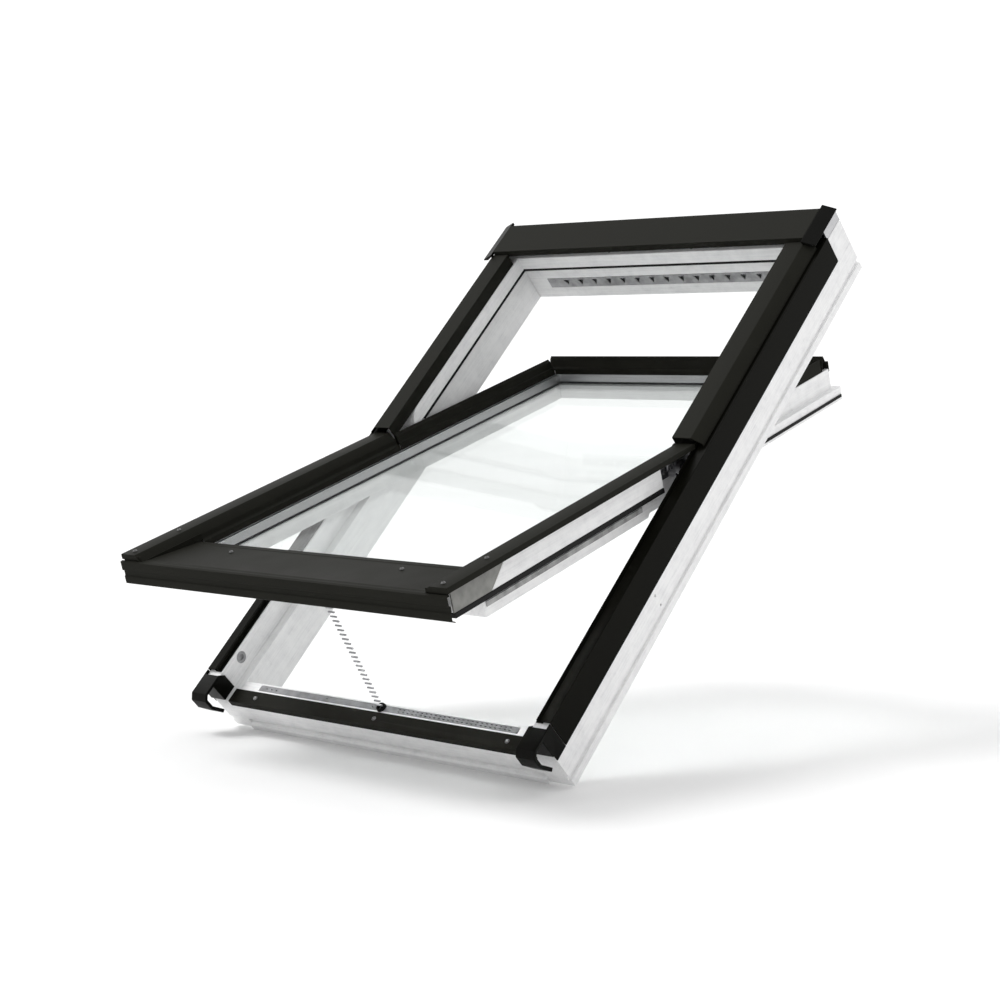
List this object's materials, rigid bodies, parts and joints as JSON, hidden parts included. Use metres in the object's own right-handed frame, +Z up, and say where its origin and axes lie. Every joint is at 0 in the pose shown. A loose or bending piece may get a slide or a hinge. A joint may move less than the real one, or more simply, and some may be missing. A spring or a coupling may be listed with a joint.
{
  "type": "roof skylight",
  "caption": "Centre-pivot roof window, white timber frame and sash with dark aluminium covers, opened by a push-chain drive.",
  "frame": {"origin": "middle of the bottom rail's outer face, on the frame's lower side", "axes": "+Z up, +X to the right seen from outside, +Y into the roof; the window lies at its roof pitch"},
  "size_m": [0.786, 1.1429, 0.9378],
  "materials": {
    "white_timber": "white lacquered pine, fine brushed grain",
    "clear_glass": "clear float glass",
    "black_rubber": "matt sealing rubber",
    "grey_rubber": "matt grey sealing lip",
    "black_plastic": "black moulded plastic",
    "grey_plastic": "grey moulded plastic",
    "bare_aluminium": "mill-finish sheet",
    "steel": "zinc-plated steel",
    "dark_steel": "dark coated pressed steel",
    "dark_cladding": "matt grey-brown coated aluminium"
  },
  "bodies": {
    "frame": {"frame_stile_left": "white_timber", "frame_stile_right": "white_timber", "frame_top_rail": "white_timber", "frame_bottom_rail": "white_timber", "stop_list_left": "white_timber", "stop_list_right": "white_timber", "stop_list_top": "white_timber", "frame_gasket": "black_rubber", "gutter_profile_left": "dark_cladding", "gutter_profile_right": "dark_cladding", "gutter_corner_left": "black_plastic", "gutter_corner_right": "black_plastic", "upper_cover_left": "dark_cladding", "upper_cover_right": "dark_cladding", "hood": "dark_cladding", "hood_end_left": "black_plastic", "hood_end_right": "black_plastic", "hood_carrier": "bare_aluminium", "frame_bottom_cover": "dark_cladding", "ventilator_grille": "grey_plastic", "drive_housing": "black_plastic", "drive_cover": "grey_plastic", "chain_nozzle": "black_plastic", "bolt_socket_left": "grey_plastic", "bolt_socket_right": "grey_plastic", "hinge_frame_left": "dark_steel", "hinge_frame_right": "dark_steel", "frame_screws": "steel", "hinge_screws": "steel"},
    "sash": {"chain_bracket": "black_plastic", "hinge_sash_left": "dark_steel", "hinge_sash_right": "dark_steel", "sash_stile_left": "white_timber", "sash_stile_right": "white_timber", "sash_top_rail": "white_timber", "sash_bottom_rail": "white_timber", "sash_list_left": "white_timber", "sash_list_right": "white_timber", "corner_plate_left": "grey_plastic", "corner_plate_right": "grey_plastic", "sash_gasket": "black_rubber", "sash_lip_seal": "grey_rubber", "outer_pane": "clear_glass", "inner_pane": "clear_glass", "spacer_bar": "bare_aluminium", "glazing_seal": "black_rubber", "sash_cover_left": "dark_cladding", "sash_cover_right": "dark_cladding", "sash_upper_cover_left": "dark_cladding", "sash_upper_cover_right": "dark_cladding", "sash_top_cover": "dark_cladding", "sash_bottom_cover": "dark_cladding", "sash_screws": "steel"},
    "chain": {"push_chain": "steel"},
    "shutter": {"ventilator_shutter": "grey_plastic"}
  },
  "joints": [
    {"name": "sash_pivot", "type": "hinge", "parent": "frame", "child": "sash", "pos_m": [0, 0.36396, 0.4446], "axis": [1, 0, 0], "range_deg": [0, 27.5], "deforming": ["push_chain"]},
    {"name": "chain_swing", "type": "hinge", "parent": "frame", "child": "chain", "pos_m": [0, -0.00085, 0.05241], "axis": [1, 0, 0], "range_deg": [0, 13.75]},
    {"name": "vent_slide", "type": "slide", "parent": "frame", "child": "shutter", "axis": [1, 0, 0], "range_m": [0, 0.0175]}
  ],
  "couplings": [
    {"joint": "chain_swing", "follows": "sash_pivot", "ratio": 0.5}
  ]
}
